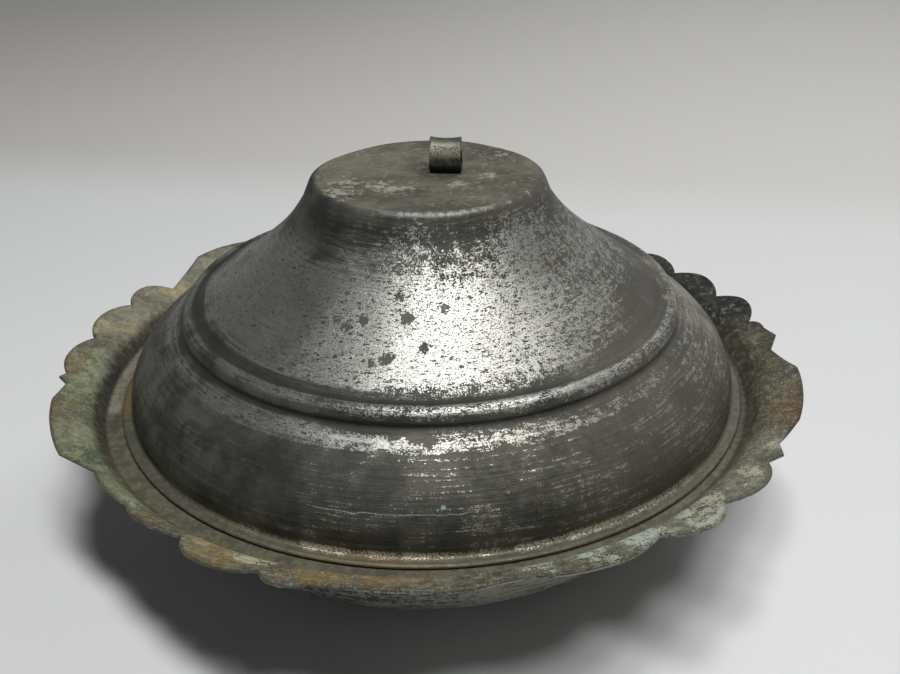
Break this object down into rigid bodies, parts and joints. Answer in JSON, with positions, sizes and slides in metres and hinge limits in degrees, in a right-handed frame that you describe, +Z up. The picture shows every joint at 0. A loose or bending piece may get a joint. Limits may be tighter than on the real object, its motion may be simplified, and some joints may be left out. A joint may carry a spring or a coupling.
{
  "type": "lidded dish",
  "caption": "Shallow round-bellied metal dish with a wide scalloped flange, and a domed, stepped lid with a flat crown and a small strap loop.",
  "frame": {"origin": "centre of the flat base, on the surface the dish stands on", "axes": "+Z up along the axis of the bowl, +X to the right and +Y away from the viewer with the strap loop's opening running left to right"},
  "size_m": [0.2345, 0.2334, 0.1202],
  "materials": {
    "bowl_copper": "tinned copper, weathered grey with green and ochre patches, matt",
    "lid_tin": "tinned copper, dark grey tin worn bright in places, satin",
    "loop_tin": "tinned copper, dark and worn, satin",
    "rivet_copper": "bare copper, darkened, satin"
  },
  "bodies": {
    "bowl": {"bowl": "bowl_copper"},
    "lid": {"lid": "lid_tin", "handle_rivet": "rivet_copper", "rivet_washer": "rivet_copper"},
    "loop": {"handle_loop": "loop_tin"}
  },
  "joints": [
    {"name": "lid_lift", "type": "slide", "parent": "bowl", "child": "lid", "axis": [0, 0, 1], "range_m": [0, 0.08]},
    {"name": "loop_turn", "type": "hinge", "parent": "lid", "child": "loop", "pos_m": [0.0077, 0.0049, 0.11], "axis": [0, 0, 1], "continuous": true}
  ]
}
